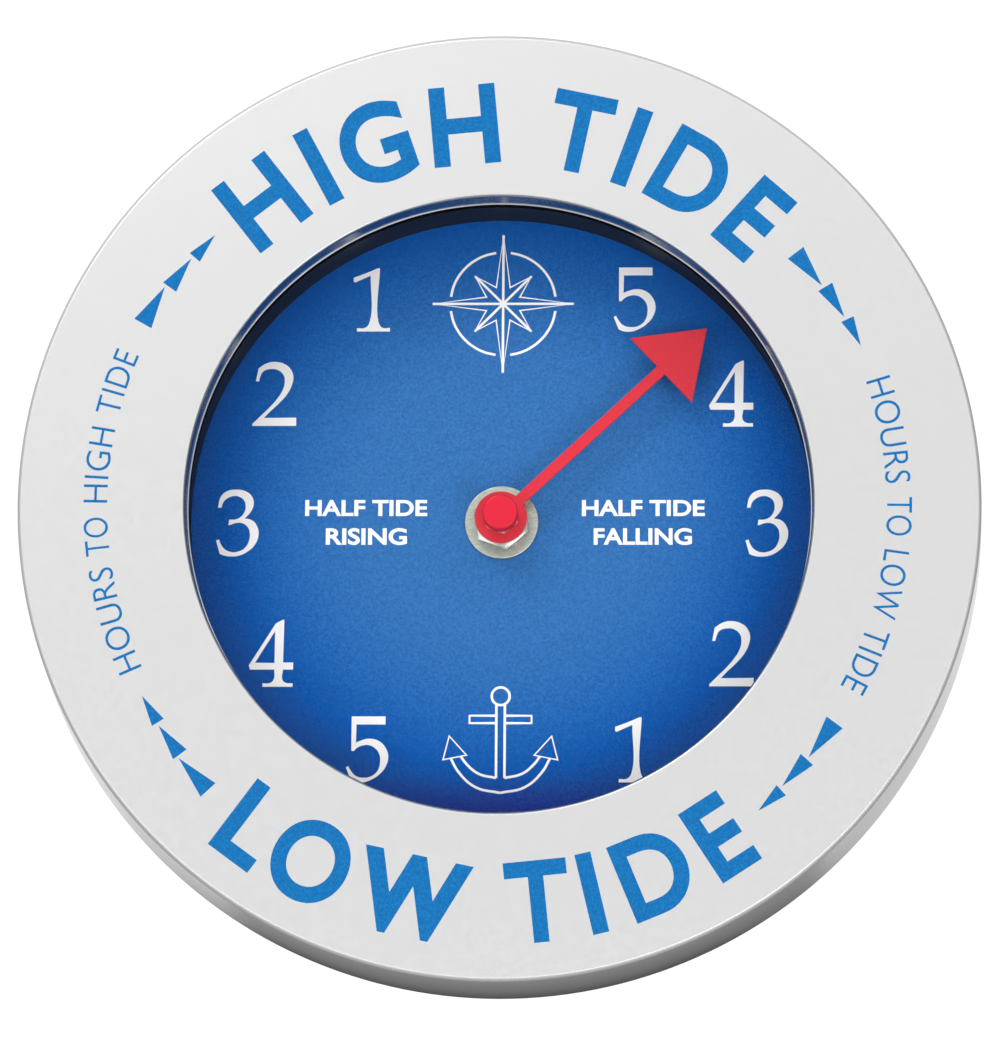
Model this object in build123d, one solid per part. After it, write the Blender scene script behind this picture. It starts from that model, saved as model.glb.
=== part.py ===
from build123d import *
import math
import os

# Round wall tide clock, in millimetres.
# It is drawn face up: X is to the right, Y is up the dial and Z runs from the wall to the viewer.
# The wall is the plane of zero height and the dial's axis passes through the origin. At the end
# every piece is turned so that the dial stands upright and faces -Y, with +Z up.

# Case ring: a flat broad ring with a side wall and a short inner lip
case_diameter = 203.0
opening_diameter = 132.0
ring_wall = 2.0
skirt_depth = 23.1
rim_flare = 0.95
edge_radius = 2.5
lip_depth = 6.2
lip_radius = 1.3
screw_boss_radius = 3.5
screw_count = 6
first_screw_angle = 30.0

# Glass, its seal, the black spacer behind it and the dial
lens_thickness = 2.0
lens_overlap = 5.0
seat_clearance = 0.3
gasket_thickness = 0.5
gasket_setback = 0.4
glass_gap = 2.3
spacer_setback = 0.6
spacer_wall = 1.6
spacer_flange = 1.5
dial_thickness = 1.0
dial_overlap = 8.0

# Moulded back cover, with a drum that reaches the wall
cover_wall = 2.0
drum_gap = 3.5
drum_edge_radius = 1.2
window_gap = 2.0
window_corner = 3.0
screw_radius = 1.2
screw_length = 10.0
pilot_spare = 1.0
screw_head_radius = 2.8
screw_head_height = 1.9
screw_slot_width = 0.8
screw_slot_depth = 0.9
screw_hole_clearance = 0.4
thread_clearance = 0.05

# Steel hanger plate with a keyhole for the wall screw
hanger_thickness = 1.2
hanger_corner = 3.0
hanger_gap = 3.5
hanger_margin = 3.5
keyhole_radius = 4.6
keyhole_slot = 4.8
keyhole_travel = 9.0
keyhole_rim = 2.0
rivet_radius = 1.4
rivet_head_radius = 2.8
rivet_head_height = 0.8

# Fasteners on the dial
bush_radius = 3.95
bush_flange_radius = 6.0
bush_flange_thickness = 1.0
bush_proud = 1.0
bush_chamfer = 0.4
washer_radius = 7.9
washer_thickness = 0.8
nut_across_flats = 11.1
nut_thickness = 2.4
nut_chamfer = 0.35
nut_turn = 10.0
rubber_radius = 9.0
rubber_thickness = 1.0
hole_clearance = 0.1

# Pointer, its arbor, nut and cap
pointer_tip_gap = 5.5
pointer_head_length = 13.5
pointer_head_width = 19.4
pointer_shaft_width = 2.4
pointer_hub_radius = 5.6
pointer_thickness = 0.8
pointer_corner = 0.35
pointer_angle = 46.8
arbor_radius = 2.5
arbor_tip_radius = 1.6
arbor_seat_radius = 2.0
arbor_proud = 1.7
pointer_nut_across_flats = 6.7
pointer_nut_thickness = 2.4
cap_radius = 3.8
cap_height = 3.6
cap_edge = 0.6

# Wheels of the movement: tooth counts, and one module that sets the others
tide_teeth = 54
motion_pinion_teeth = 15
motion_teeth = 69
cannon_teeth = 20
centre_teeth = 80
third_pinion_teeth = 10
third_teeth = 75
fourth_pinion_teeth = 10
fourth_teeth = 60
fifth_pinion_teeth = 10
fifth_teeth = 60
rotor_teeth = 12
motion_module = 0.25
rotor_module = 0.22
tooth_width_share = 0.40
tooth_tip_share = 0.45
tooth_root_share = 1.25
addendum_share = 0.80
dedendum_share = 1.15
motion_angle = 25.0
third_angle = 160.0
fifth_angle = 90.0
wheel_thickness = 1.0
wheel_gap = 0.5
wheel_side_gap = 1.5
arbor_side_gap = 0.4
running_clearance = 0.05
pivot_radius = 0.4
pivot_end_gap = 0.4
pivot_boss_radius = 1.6
pivot_boss_length = 2.0
journal_radius = 1.2
spigot_radius = 0.8
spigot_length = 2.5
clutch_seat_radius = 1.0
clutch_thickness = 0.2
clutch_radius = 2.6

# Movement case, middle plate and setting knob
movement_wall = 1.2
movement_corner = 2.0
train_margin = 1.2
plate_thickness = 1.0
plate_corner = 2.0
plate_margin = 1.8
post_radius = 1.5
post_inset = 2.0
post_side = 6.4
flange_gap = 0.2
knob_radius = 5.0
knob_thickness = 1.9
knob_gap = 0.1
knob_bore = 1.0
knob_flutes = 16
knob_flute_radius = 0.45
wall_clearance = 0.3
finger_notch = 18.0
finger_notch_depth = 5.0

# Step motor
magnet_radius = 2.5
magnet_thickness = 1.8
rotor_hub_radius = 0.7
air_gap = 0.4
stator_thickness = 1.0
stator_half_width = 14.3
stator_leg = 4.0
stator_rim = 1.0
core_width = 2.4
coil_end_gap = 0.8
bobbin_flange_proud = 0.3
bobbin_flange = 0.8
bobbin_tube_radius = 1.9
bobbin_bore_clearance = 0.1
winding_radius = 3.0
coil_margin = 0.5

# Circuit, cell and contacts
cell_length = 50.5
cell_diameter = 14.5
cell_nub_radius = 2.75
cell_nub_length = 1.4
cell_clearance = 0.3
contact_thickness = 0.4
contact_pad = 9.0
contact_strip = 3.0
spring_reach = 2.3
spring_tip = 1.0
notch_clearance = 0.2
board_thickness = 1.0
board_margin = 0.3
chip_side = 4.0
chip_thickness = 1.0
crystal_radius = 1.0
crystal_length = 6.0
crystal_gap = 2.0

# Every cut runs this far past the surface that it opens
cut_overrun = 1.0


# Modules and wheel axes
def tip_radius(teeth, module):
    """Radius over the tips of a toothed wheel."""
    return (teeth / 2 + addendum_share) * module


def axis_at(distance, degrees):
    """Place of a wheel's axis, by its distance and angle from the dial's axis."""
    return distance * math.cos(math.radians(degrees)), distance * math.sin(math.radians(degrees))


dial_axis = (0, 0)
motion_distance = motion_module * (cannon_teeth + motion_teeth) / 2
tide_module = 2 * motion_distance / (motion_pinion_teeth + tide_teeth)
centre_tip = motion_distance - journal_radius - wheel_side_gap
centre_module = centre_tip / (centre_teeth / 2 + addendum_share)
third_distance = centre_module * (centre_teeth + third_pinion_teeth) / 2
third_module = 2 * third_distance / (third_teeth + fourth_pinion_teeth)
fifth_distance = centre_tip + pivot_radius + arbor_side_gap
fourth_module = 2 * fifth_distance / (fourth_teeth + fifth_pinion_teeth)
rotor_distance = rotor_module * (fifth_teeth + rotor_teeth) / 2
motion_axis = axis_at(motion_distance, motion_angle)
third_axis = axis_at(third_distance, third_angle)
fifth_axis = axis_at(fifth_distance, fifth_angle)
rotor_axis = (fifth_axis[0], fifth_axis[1] + rotor_distance)

# Heights above the wall, from the setting knob forward to the face of the ring
knob_low = wall_clearance
knob_high = knob_low + knob_thickness
lid_low = knob_high + knob_gap
lid_high = lid_low + movement_wall
pivot_boss_high = lid_high + pivot_boss_length
fifth_low = pivot_boss_high + wheel_gap
fifth_high = fifth_low + wheel_thickness
fourth_low = fifth_high + wheel_gap
fourth_high = fourth_low + wheel_thickness
third_low = fourth_high + wheel_gap
third_high = third_low + wheel_thickness
centre_low = third_high + wheel_gap
centre_high = centre_low + wheel_thickness
plate_low = centre_high + wheel_gap
plate_high = plate_low + plate_thickness
motion_low = plate_high + wheel_gap
motion_high = motion_low + wheel_thickness
tide_low = motion_high + wheel_gap
tide_high = tide_low + wheel_thickness
train_front = tide_high + flange_gap + bush_flange_thickness
cell_front = lid_low + cell_diameter + cell_clearance
inside_front = max(train_front, cell_front)
movement_front = inside_front + movement_wall
dial_low = movement_front + rubber_thickness
dial_high = dial_low + dial_thickness
washer_high = dial_high + washer_thickness
nut_high = washer_high + nut_thickness
bush_high = nut_high + bush_proud
pointer_low = bush_high + arbor_proud
pointer_high = pointer_low + pointer_thickness
pointer_nut_high = pointer_high + pointer_nut_thickness
cap_high = pointer_nut_high + cap_height
lens_low = cap_high + glass_gap
lens_high = lens_low + lens_thickness
lip_low = lens_high + gasket_thickness
ring_front = lip_low + lip_depth
ring_back = ring_front - ring_wall
skirt_low = ring_front - skirt_depth
flange_high = skirt_low + cover_wall

# Radii of the case
case_radius = case_diameter / 2
opening_radius = opening_diameter / 2
pointer_length = opening_radius - pointer_tip_gap
lens_radius = opening_radius + lens_overlap
dial_radius = opening_radius + dial_overlap
lens_seat_radius = lens_radius + seat_clearance
spacer_inner = opening_radius + spacer_setback
step_inner = dial_radius + seat_clearance
step_outer = step_inner + cover_wall
flare_at_flange = rim_flare * (ring_front - flange_high) / skirt_depth
flange_radius = case_radius - ring_wall + flare_at_flange - seat_clearance
screw_circle = (step_outer + flange_radius) / 2
screw_places = [
    axis_at(screw_circle, first_screw_angle + 360 * screw / screw_count)
    for screw in range(screw_count)
]

# Outline of the movement
bay_half = (cell_length + contact_thickness + spring_reach) / 2
tray_half = bay_half + movement_wall
train_bottom = -(tip_radius(tide_teeth, tide_module) + train_margin)
stator_reach = magnet_radius + air_gap
bobbin_flange_radius = winding_radius + bobbin_flange_proud
coil_height = rotor_axis[1] + stator_reach + stator_rim + coil_margin + bobbin_flange_radius
train_top = coil_height + bobbin_flange_radius + coil_margin
bay_high = train_bottom - movement_wall
bay_low = bay_high - cell_diameter - 2 * cell_clearance
tray_bottom = bay_low - movement_wall
tray_top = train_top + movement_wall
plate_half = motion_axis[0] + post_side
plate_bottom = train_bottom + plate_margin
plate_top = rotor_axis[1] + plate_margin
post_places = [
    (side * (plate_half - post_inset), height)
    for side in (-1, 1)
    for height in (plate_bottom + post_inset, plate_top - post_inset)
]

# Step motor and cell
magnet_high = third_high + wheel_gap
magnet_low = magnet_high - magnet_thickness
stator_high = (magnet_low + magnet_high + stator_thickness) / 2
stator_low = stator_high - stator_thickness
core_high = stator_high + stator_thickness
core_middle = (stator_high + core_high) / 2
core_post = stator_half_width - stator_leg / 2
coil_half_length = stator_half_width - stator_leg - coil_end_gap
cell_height = (bay_low + bay_high) / 2
cell_middle = inside_front - cell_clearance - cell_diameter / 2
cell_right = bay_half - contact_thickness
cell_left = cell_right - cell_length
board_low = inside_front - board_thickness

# Hanger plate above the window, and the drum that holds it
window_top = tray_top + window_gap
window_bottom = tray_bottom - window_gap
hanger_slot_half = keyhole_radius + keyhole_rim
rivet_place = hanger_slot_half + hanger_margin
hanger_half_width = rivet_place + hanger_margin
hanger_half_height = keyhole_travel / 2 + hanger_slot_half + hanger_margin
hanger_height = window_top + hanger_gap + hanger_half_height
keyhole_height = hanger_height - keyhole_travel / 2
keyhole_end = hanger_height + keyhole_travel / 2
drum_inner = hanger_height + hanger_half_height + drum_gap
drum_radius = drum_inner + cover_wall


# Basic shapes
def disc(radius, low, high, place=dial_axis):
    """Cylinder between two heights."""
    return Pos(place[0], place[1], (low + high) / 2) * Cylinder(radius, high - low)


def hole(radius, low, high, place=dial_axis):
    """Cylinder that overruns both heights, for a through hole."""
    return disc(radius, low - cut_overrun, high + cut_overrun, place)


def washer(outer, inner, low, high):
    """Flat ring about the dial's axis."""
    return disc(outer, low, high) - hole(inner, low, high)


def block(left, right, bottom, top, low, high):
    """Box given by its six faces."""
    middle = Pos((left + right) / 2, (bottom + top) / 2, (low + high) / 2)
    return middle * Box(right - left, top - bottom, high - low)


def rounded_plate(left, right, bottom, top, low, high, corner):
    """Flat plate with rounded corners."""
    outline = RectangleRounded(right - left, top - bottom, corner)
    middle = Pos((left + right) / 2, (bottom + top) / 2, low)
    return middle * extrude(outline, high - low, dir=(0, 0, 1))


def hexagon(across_flats, low, high):
    """Hexagonal prism about the dial's axis, turned as the nuts are."""
    outline = Rot(0, 0, nut_turn) * RegularPolygon(across_flats / 2, 6, major_radius=False, rotation=30)
    return Pos(0, 0, low) * extrude(outline, high - low, dir=(0, 0, 1))


def rod_across(radius, left, right, place, middle):
    """Round rod along X."""
    return Pos((left + right) / 2, place, middle) * Rot(0, 90, 0) * Cylinder(radius, right - left)


def lathe(corners):
    """Solid of revolution from corners given as radius, height and rounding."""
    points = [(radius, 0, height) for radius, height, rounding in corners]
    roundings = [rounding for radius, height, rounding in corners]
    return revolve(make_face(FilletPolyline(*points, radius=roundings, close=True)), Axis.Z)


def toothed(teeth, module, low, high, place, phase):
    """Toothed wheel with straight flanks and one tooth centred on the angle phase."""
    pitch = teeth * module / 2
    root = pitch - dedendum_share * module
    tip = pitch + addendum_share * module
    half_tooth = math.pi * tooth_width_share / teeth
    left_flank = ((root, -tooth_root_share), (pitch, -1), (tip, -tooth_tip_share))
    right_flank = ((tip, tooth_tip_share), (pitch, 1), (root, tooth_root_share))
    points = []
    for tooth in range(teeth):
        middle = phase + 2 * math.pi * tooth / teeth
        for radius, side in left_flank + right_flank:
            angle = middle + side * half_tooth
            points.append((radius * math.cos(angle), radius * math.sin(angle)))
    outline = make_face(Polyline(*points, close=True))
    return Pos(place[0], place[1], low) * extrude(outline, high - low, dir=(0, 0, 1))


def meshed_phase(driver_place, driver_teeth, driver_phase, place, teeth):
    """Phase that sets a wheel's tooth space against the driver's tooth."""
    towards = math.atan2(place[1] - driver_place[1], place[0] - driver_place[0])
    lead = (driver_phase - towards) * driver_teeth / teeth
    return towards + math.pi - lead + math.pi / teeth


# Wheel phases: each pinion is in mesh with the wheel beside it
first_phase = 0.0
motion_phase = meshed_phase(dial_axis, cannon_teeth, first_phase, motion_axis, motion_teeth)
tide_phase = meshed_phase(motion_axis, motion_pinion_teeth, first_phase, dial_axis, tide_teeth)
third_pinion_phase = meshed_phase(dial_axis, centre_teeth, first_phase, third_axis, third_pinion_teeth)
fourth_pinion_phase = meshed_phase(third_axis, third_teeth, first_phase, dial_axis, fourth_pinion_teeth)
fifth_pinion_phase = meshed_phase(dial_axis, fourth_teeth, first_phase, fifth_axis, fifth_pinion_teeth)
rotor_phase = meshed_phase(fifth_axis, fifth_teeth, first_phase, rotor_axis, rotor_teeth)


# Case
def make_case_ring():
    """Ring, flared side wall, inner lip, seat for the glass and screw bosses, cast in one."""
    inner_edge = case_radius - ring_wall
    ring = lathe([
        (opening_radius, lip_low, 0),
        (opening_radius, ring_front, lip_radius),
        (case_radius, ring_front, edge_radius),
        (case_radius + rim_flare, skirt_low, 0),
        (inner_edge + rim_flare, skirt_low, 0),
        (inner_edge, ring_back, 0),
        (opening_radius + ring_wall, ring_back, 0),
        (opening_radius + ring_wall, lip_low, 0),
    ])
    seat_low = lens_low - spacer_flange
    ring += washer(lens_seat_radius + ring_wall, lens_seat_radius, seat_low, ring_back)
    pilot_high = skirt_low + screw_length + pilot_spare
    for place in screw_places:
        ring += disc(screw_boss_radius, flange_high, ring_back, place)
    for place in screw_places:
        ring -= disc(screw_radius + thread_clearance, flange_high - cut_overrun, pilot_high, place)
    return ring


def make_lens():
    """Flat round glass."""
    return disc(lens_radius, lens_low, lens_high)


def make_lens_gasket():
    """Thin seal between the lip and the glass."""
    return washer(opening_radius + ring_wall, opening_radius + gasket_setback, lens_high, lip_low)


def make_spacer_ring():
    """Black wall that holds the dial away from the glass, with a flange at each end."""
    outer = spacer_inner + spacer_wall
    return lathe([
        (spacer_inner, dial_high, 0),
        (spacer_inner, lens_low, 0),
        (lens_radius, lens_low, 0),
        (lens_radius, lens_low - spacer_flange, 0),
        (outer, lens_low - spacer_flange, 0),
        (outer, dial_high + spacer_flange, 0),
        (dial_radius, dial_high + spacer_flange, 0),
        (dial_radius, dial_high, 0),
    ])


def make_dial():
    """Round dial sheet with a hole for the threaded bush."""
    return washer(dial_radius, bush_radius + hole_clearance, dial_low, dial_high)


def make_back_cover():
    """Moulded back: a flange inside the ring, a step for the dial and a drum down to the wall."""
    step_low = dial_low - cover_wall
    step_edge = min(drum_edge_radius, abs(skirt_low - step_low) / 2)
    cover = lathe([
        (step_inner, flange_high, 0),
        (flange_radius, flange_high, 0),
        (flange_radius, skirt_low, 0),
        (step_outer, skirt_low, 0),
        (step_outer, step_low, step_edge),
        (drum_radius, step_low, 0),
        (drum_radius, 0, drum_edge_radius),
        (0, 0, 0),
        (0, cover_wall, 0),
        (drum_inner, cover_wall, 0),
        (drum_inner, dial_low, 0),
        (step_inner, dial_low, 0),
    ])
    window_half = tray_half + window_gap
    cut_low = -cut_overrun
    cut_high = cover_wall + cut_overrun
    cover -= rounded_plate(
        -window_half, window_half, window_bottom, window_top, cut_low, cut_high, window_corner
    )
    cover -= keyhole(hanger_slot_half, hanger_slot_half, cut_low, cut_high)
    for side in (-1, 1):
        place = (side * rivet_place, hanger_height)
        cover -= hole(rivet_radius, 0, cover_wall, place)
        cover -= disc(rivet_head_radius, cut_low, rivet_head_height, place)
    for place in screw_places:
        cover -= hole(screw_radius + screw_hole_clearance, skirt_low, flange_high, place)
    return cover


def make_back_screws():
    """Slotted screws that hold the back cover to the ring's bosses."""
    screws = []
    for place in screw_places:
        head = disc(screw_head_radius, skirt_low - screw_head_height, skirt_low, place)
        shank = disc(screw_radius, skirt_low, skirt_low + screw_length, place)
        slot_floor = skirt_low - screw_head_height + screw_slot_depth
        slot = Pos(place[0], place[1]) * block(
            -screw_head_radius - cut_overrun,
            screw_head_radius + cut_overrun,
            -screw_slot_width / 2,
            screw_slot_width / 2,
            skirt_low - screw_head_height - cut_overrun,
            slot_floor,
        )
        screws.append(head + shank - slot)
    return Compound(children=screws)


# Hanger
def keyhole(entry_radius, slot_half, low, high):
    """Round entry with a slot above it, for a screw head."""
    entry = disc(entry_radius, low, high, (0, keyhole_height))
    end = disc(slot_half, low, high, (0, keyhole_end))
    return entry + end + block(-slot_half, slot_half, keyhole_height, keyhole_end, low, high)


def make_hanger_plate():
    """Steel plate behind the drum's wall, with the keyhole."""
    low = cover_wall
    high = low + hanger_thickness
    plate = rounded_plate(
        -hanger_half_width,
        hanger_half_width,
        hanger_height - hanger_half_height,
        hanger_height + hanger_half_height,
        low,
        high,
        hanger_corner,
    )
    plate -= keyhole(keyhole_radius, keyhole_slot / 2, low - cut_overrun, high + cut_overrun)
    for side in (-1, 1):
        plate -= hole(rivet_radius, low, high, (side * rivet_place, hanger_height))
    return plate


def make_hanger_rivets():
    """Two rivets, sunk on the wall side."""
    rivets = []
    top = cover_wall + hanger_thickness
    for side in (-1, 1):
        place = (side * rivet_place, hanger_height)
        rivet = disc(rivet_head_radius, 0, rivet_head_height, place)
        rivet += disc(rivet_radius, 0, top, place)
        rivet += disc(rivet_head_radius, top, top + rivet_head_height, place)
        rivets.append(rivet)
    return Compound(children=rivets)


# Dial fasteners
def make_threaded_bush():
    """Bush that fastens the movement to the dial, with its flange inside the movement."""
    bore = arbor_radius + running_clearance
    bush = lathe([
        (bore, inside_front - bush_flange_thickness, 0),
        (bush_flange_radius, inside_front - bush_flange_thickness, 0),
        (bush_flange_radius, inside_front, 0),
        (bush_radius, inside_front, 0),
        (bush_radius, bush_high - bush_chamfer, 0),
        (bush_radius - bush_chamfer, bush_high, 0),
        (bore, bush_high, 0),
    ])
    return bush


def make_rubber_washer():
    """Soft washer between the movement and the dial."""
    return washer(rubber_radius, bush_radius + hole_clearance, movement_front, dial_low)


def make_dial_washer():
    """Flat steel washer on the dial."""
    return washer(washer_radius, bush_radius + hole_clearance, dial_high, washer_high)


def make_dial_nut():
    """Hex nut with its front corners chamfered."""
    nut = hexagon(nut_across_flats, washer_high, nut_high)
    corner_radius = nut_across_flats / 2 / math.cos(math.pi / 6)
    crown = lathe([
        (0, washer_high - cut_overrun, 0),
        (corner_radius + cut_overrun, washer_high - cut_overrun, 0),
        (corner_radius + cut_overrun, nut_high - nut_chamfer, 0),
        (corner_radius, nut_high - nut_chamfer, 0),
        (corner_radius - 2 * nut_chamfer, nut_high, 0),
        (0, nut_high, 0),
    ])
    return (nut & crown) - hole(bush_radius + thread_clearance, washer_high, nut_high)


# Pointer
def make_tide_arbor():
    """Shaft that carries the pointer, with a bore behind for the cannon pinion's spigot."""
    arbor = disc(arbor_seat_radius, tide_low, tide_high)
    arbor += disc(arbor_radius, tide_high, pointer_low)
    arbor += disc(arbor_tip_radius, pointer_low, pointer_nut_high)
    bore_high = tide_low + spigot_length + pivot_end_gap
    return arbor - disc(spigot_radius + running_clearance, tide_low - cut_overrun, bore_high)


def make_pointer():
    """Sheet arrow with a round hub, turned to its place on the dial."""
    head_base = pointer_length - pointer_head_length
    half_head = pointer_head_width / 2
    half_shaft = pointer_shaft_width / 2
    arrow = FilletPolyline(
        (-half_shaft, 0),
        (half_shaft, 0),
        (half_shaft, head_base),
        (half_head, head_base),
        (0, pointer_length),
        (-half_head, head_base),
        (-half_shaft, head_base),
        radius=[0, 0, 0, pointer_corner, pointer_corner, pointer_corner, 0],
        close=True,
    )
    outline = make_face(arrow) + Circle(pointer_hub_radius) - Circle(arbor_tip_radius + thread_clearance)
    sheet = extrude(outline, pointer_thickness, dir=(0, 0, 1))
    return Pos(0, 0, pointer_low) * Rot(0, 0, -pointer_angle) * sheet


def make_pointer_nut():
    """Small hex nut that clamps the pointer on its arbor."""
    nut = hexagon(pointer_nut_across_flats, pointer_high, pointer_nut_high)
    return nut - hole(arbor_tip_radius + thread_clearance, pointer_high, pointer_nut_high)


def make_pointer_cap():
    """Round cap on the pointer's nut."""
    return lathe([
        (0, pointer_nut_high, 0),
        (cap_radius, pointer_nut_high, 0),
        (cap_radius, cap_high, cap_edge),
        (0, cap_high, 0),
    ])


# Movement case
def tray_outline(low, high):
    """Slab of the movement's rounded outline."""
    return rounded_plate(-tray_half, tray_half, tray_bottom, tray_top, low, high, movement_corner)


def contact_notch(side):
    """Slot in the wall between the cell and the train for a contact strip."""
    inner = bay_half - contact_thickness - notch_clearance
    low = board_low - contact_strip - notch_clearance
    slot = block(inner, bay_half, bay_high - cut_overrun, train_bottom + cut_overrun, low, inside_front)
    return slot if side > 0 else mirror(slot, Plane.YZ)


def make_movement_case():
    """Tray with a train side and a cell bay, both open to the rear."""
    case = tray_outline(lid_low, movement_front)
    wide = tray_half + cut_overrun
    case -= block(-wide, wide, bay_high, tray_top + cut_overrun, lid_low - cut_overrun, lid_high)
    case -= block(-bay_half, bay_half, train_bottom, train_top, lid_low, inside_front)
    case -= block(-bay_half, bay_half, bay_low, bay_high, lid_low - cut_overrun, inside_front)
    case -= block(
        -finger_notch / 2,
        finger_notch / 2,
        tray_bottom - cut_overrun,
        bay_low + cut_overrun,
        lid_low - cut_overrun,
        lid_low + finger_notch_depth,
    )
    for side in (-1, 1):
        case -= contact_notch(side)
        case += disc(post_radius, core_high, inside_front, (side * core_post, coil_height))
    for place in post_places:
        case += disc(post_radius, plate_high, inside_front, place)
    case -= hole(bush_radius + hole_clearance, inside_front, movement_front)
    spigot_hole_end = movement_front - pivot_end_gap
    spigot_hole = spigot_radius + running_clearance
    return case - disc(spigot_hole, inside_front - cut_overrun, spigot_hole_end, motion_axis)


def make_movement_cover():
    """Lid over the train, with a boss for each rear pivot and a hole for the setting arbor."""
    lid = tray_outline(lid_low, lid_high)
    wide = tray_half + cut_overrun
    cut_low = lid_low - cut_overrun
    cut_high = lid_high + cut_overrun
    lid -= block(-wide, wide, tray_bottom - cut_overrun, bay_high, cut_low, cut_high)
    for place in (dial_axis, third_axis, fifth_axis, rotor_axis):
        lid += disc(pivot_boss_radius, lid_high, pivot_boss_high, place)
        lid -= disc(pivot_radius + running_clearance, lid_high, pivot_boss_high + cut_overrun, place)
    return lid - hole(journal_radius + running_clearance, lid_low, lid_high, motion_axis)


def make_train_plate():
    """Middle plate on four posts, which carries the front pivots of the fast wheels."""
    plate = rounded_plate(
        -plate_half, plate_half, plate_bottom, plate_top, plate_low, plate_high, plate_corner
    )
    for place in (dial_axis, motion_axis):
        plate -= hole(journal_radius + running_clearance, plate_low, plate_high, place)
    for place in (third_axis, fifth_axis, rotor_axis):
        plate -= hole(pivot_radius + running_clearance, plate_low, plate_high, place)
    return plate


# Wheels
def pivot(low, high, place):
    """Thin arbor of a fast wheel."""
    return disc(pivot_radius, low, high, place)


rear_pivot_end = lid_high + pivot_end_gap
front_pivot_end = plate_high - pivot_end_gap


def make_tide_wheel():
    """Wheel on the pointer's arbor."""
    wheel = toothed(tide_teeth, tide_module, tide_low, tide_high, dial_axis, tide_phase)
    return wheel - hole(arbor_seat_radius, tide_low, tide_high)


def make_motion_wheel():
    """Wheel and pinion on the setting arbor, which runs out through the lid to the knob."""
    wheel = toothed(motion_teeth, motion_module, motion_low, motion_high, motion_axis, motion_phase)
    wheel += toothed(motion_pinion_teeth, tide_module, motion_high, tide_high, motion_axis, first_phase)
    wheel += disc(journal_radius, lid_low, motion_low, motion_axis)
    wheel += disc(knob_bore, knob_low, lid_low, motion_axis)
    return wheel + disc(spigot_radius, tide_high, movement_front - 2 * pivot_end_gap, motion_axis)


def make_setting_knob():
    """Fluted knob on the end of the setting arbor."""
    knob = disc(knob_radius, knob_low, knob_high, motion_axis)
    for flute in range(knob_flutes):
        dx, dy = axis_at(knob_radius, 360 * flute / knob_flutes)
        knob -= hole(knob_flute_radius, knob_low, knob_high, (motion_axis[0] + dx, motion_axis[1] + dy))
    return knob - hole(knob_bore, knob_low, knob_high, motion_axis)


def make_cannon_pinion():
    """Pinion on the centre arbor, with a spigot in front and a bore behind for the fourth wheel."""
    pinion = toothed(cannon_teeth, motion_module, motion_low, motion_high, dial_axis, first_phase)
    pinion += disc(spigot_radius, motion_high, tide_low + spigot_length)
    pinion += disc(journal_radius, centre_high + clutch_thickness, motion_low)
    pinion += disc(clutch_seat_radius, centre_low, centre_high + clutch_thickness)
    return pinion - disc(pivot_radius + running_clearance, centre_low - cut_overrun, centre_high)


def make_clutch_spring():
    """Friction washer between the centre wheel and the cannon pinion's shoulder."""
    bore = clutch_seat_radius + running_clearance
    return washer(clutch_radius, bore, centre_high, centre_high + clutch_thickness)


def make_centre_wheel():
    """Wheel that turns the cannon pinion through the clutch."""
    wheel = toothed(centre_teeth, centre_module, centre_low, centre_high, dial_axis, first_phase)
    return wheel - hole(clutch_seat_radius + running_clearance, centre_low, centre_high)


def make_third_wheel():
    """Wheel and pinion between the centre and fourth wheels."""
    wheel = toothed(third_teeth, third_module, third_low, third_high, third_axis, first_phase)
    wheel += toothed(
        third_pinion_teeth, centre_module, third_high, centre_high, third_axis, third_pinion_phase
    )
    return wheel + pivot(rear_pivot_end, front_pivot_end, third_axis)


def make_fourth_wheel():
    """Wheel and pinion on the dial's axis, behind the centre wheel."""
    wheel = toothed(fourth_teeth, fourth_module, fourth_low, fourth_high, dial_axis, first_phase)
    wheel += toothed(
        fourth_pinion_teeth, third_module, fourth_high, third_high, dial_axis, fourth_pinion_phase
    )
    return wheel + pivot(rear_pivot_end, centre_high - pivot_end_gap, dial_axis)


def make_fifth_wheel():
    """Wheel and pinion between the rotor and the fourth wheel."""
    wheel = toothed(fifth_teeth, rotor_module, fifth_low, fifth_high, fifth_axis, first_phase)
    wheel += toothed(
        fifth_pinion_teeth, fourth_module, fifth_high, fourth_high, fifth_axis, fifth_pinion_phase
    )
    return wheel + pivot(rear_pivot_end, front_pivot_end, fifth_axis)


# Step motor
def make_rotor():
    """Rotor pinion and the hub that carries the magnet."""
    rotor = toothed(rotor_teeth, rotor_module, fifth_low, fifth_high, rotor_axis, rotor_phase)
    rotor += disc(rotor_hub_radius, fifth_high, magnet_high, rotor_axis)
    return rotor + pivot(rear_pivot_end, front_pivot_end, rotor_axis)


def make_rotor_magnet():
    """Ring magnet on the rotor's hub."""
    ring = disc(magnet_radius, magnet_low, magnet_high, rotor_axis)
    return ring - hole(rotor_hub_radius, magnet_low, magnet_high, rotor_axis)


def make_stator():
    """Iron plate round the magnet, with a leg to each end of the coil's core."""
    base_top = rotor_axis[1] + stator_reach + stator_rim
    base_bottom = rotor_axis[1] - stator_reach - stator_rim
    leg_top = coil_height + core_width / 2
    plate = block(-stator_half_width, stator_half_width, base_bottom, base_top, stator_low, stator_high)
    for side in (-1, 1):
        left, right = sorted((side * stator_half_width, side * (stator_half_width - stator_leg)))
        plate += block(left, right, base_bottom, leg_top, stator_low, stator_high)
    return plate - hole(stator_reach, stator_low, stator_high, rotor_axis)


def core_bar(half_length, grow, low, high):
    """Bar on the coil's axis, grown all round by a clearance."""
    half_width = core_width / 2 + grow
    bar = block(-half_length, half_length, -half_width, half_width, low - grow, high + grow)
    return Pos(0, coil_height) * bar


def make_coil_core():
    """Iron bar through the coil, lying on the stator's legs."""
    return core_bar(stator_half_width, 0, stator_high, core_high)


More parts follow.
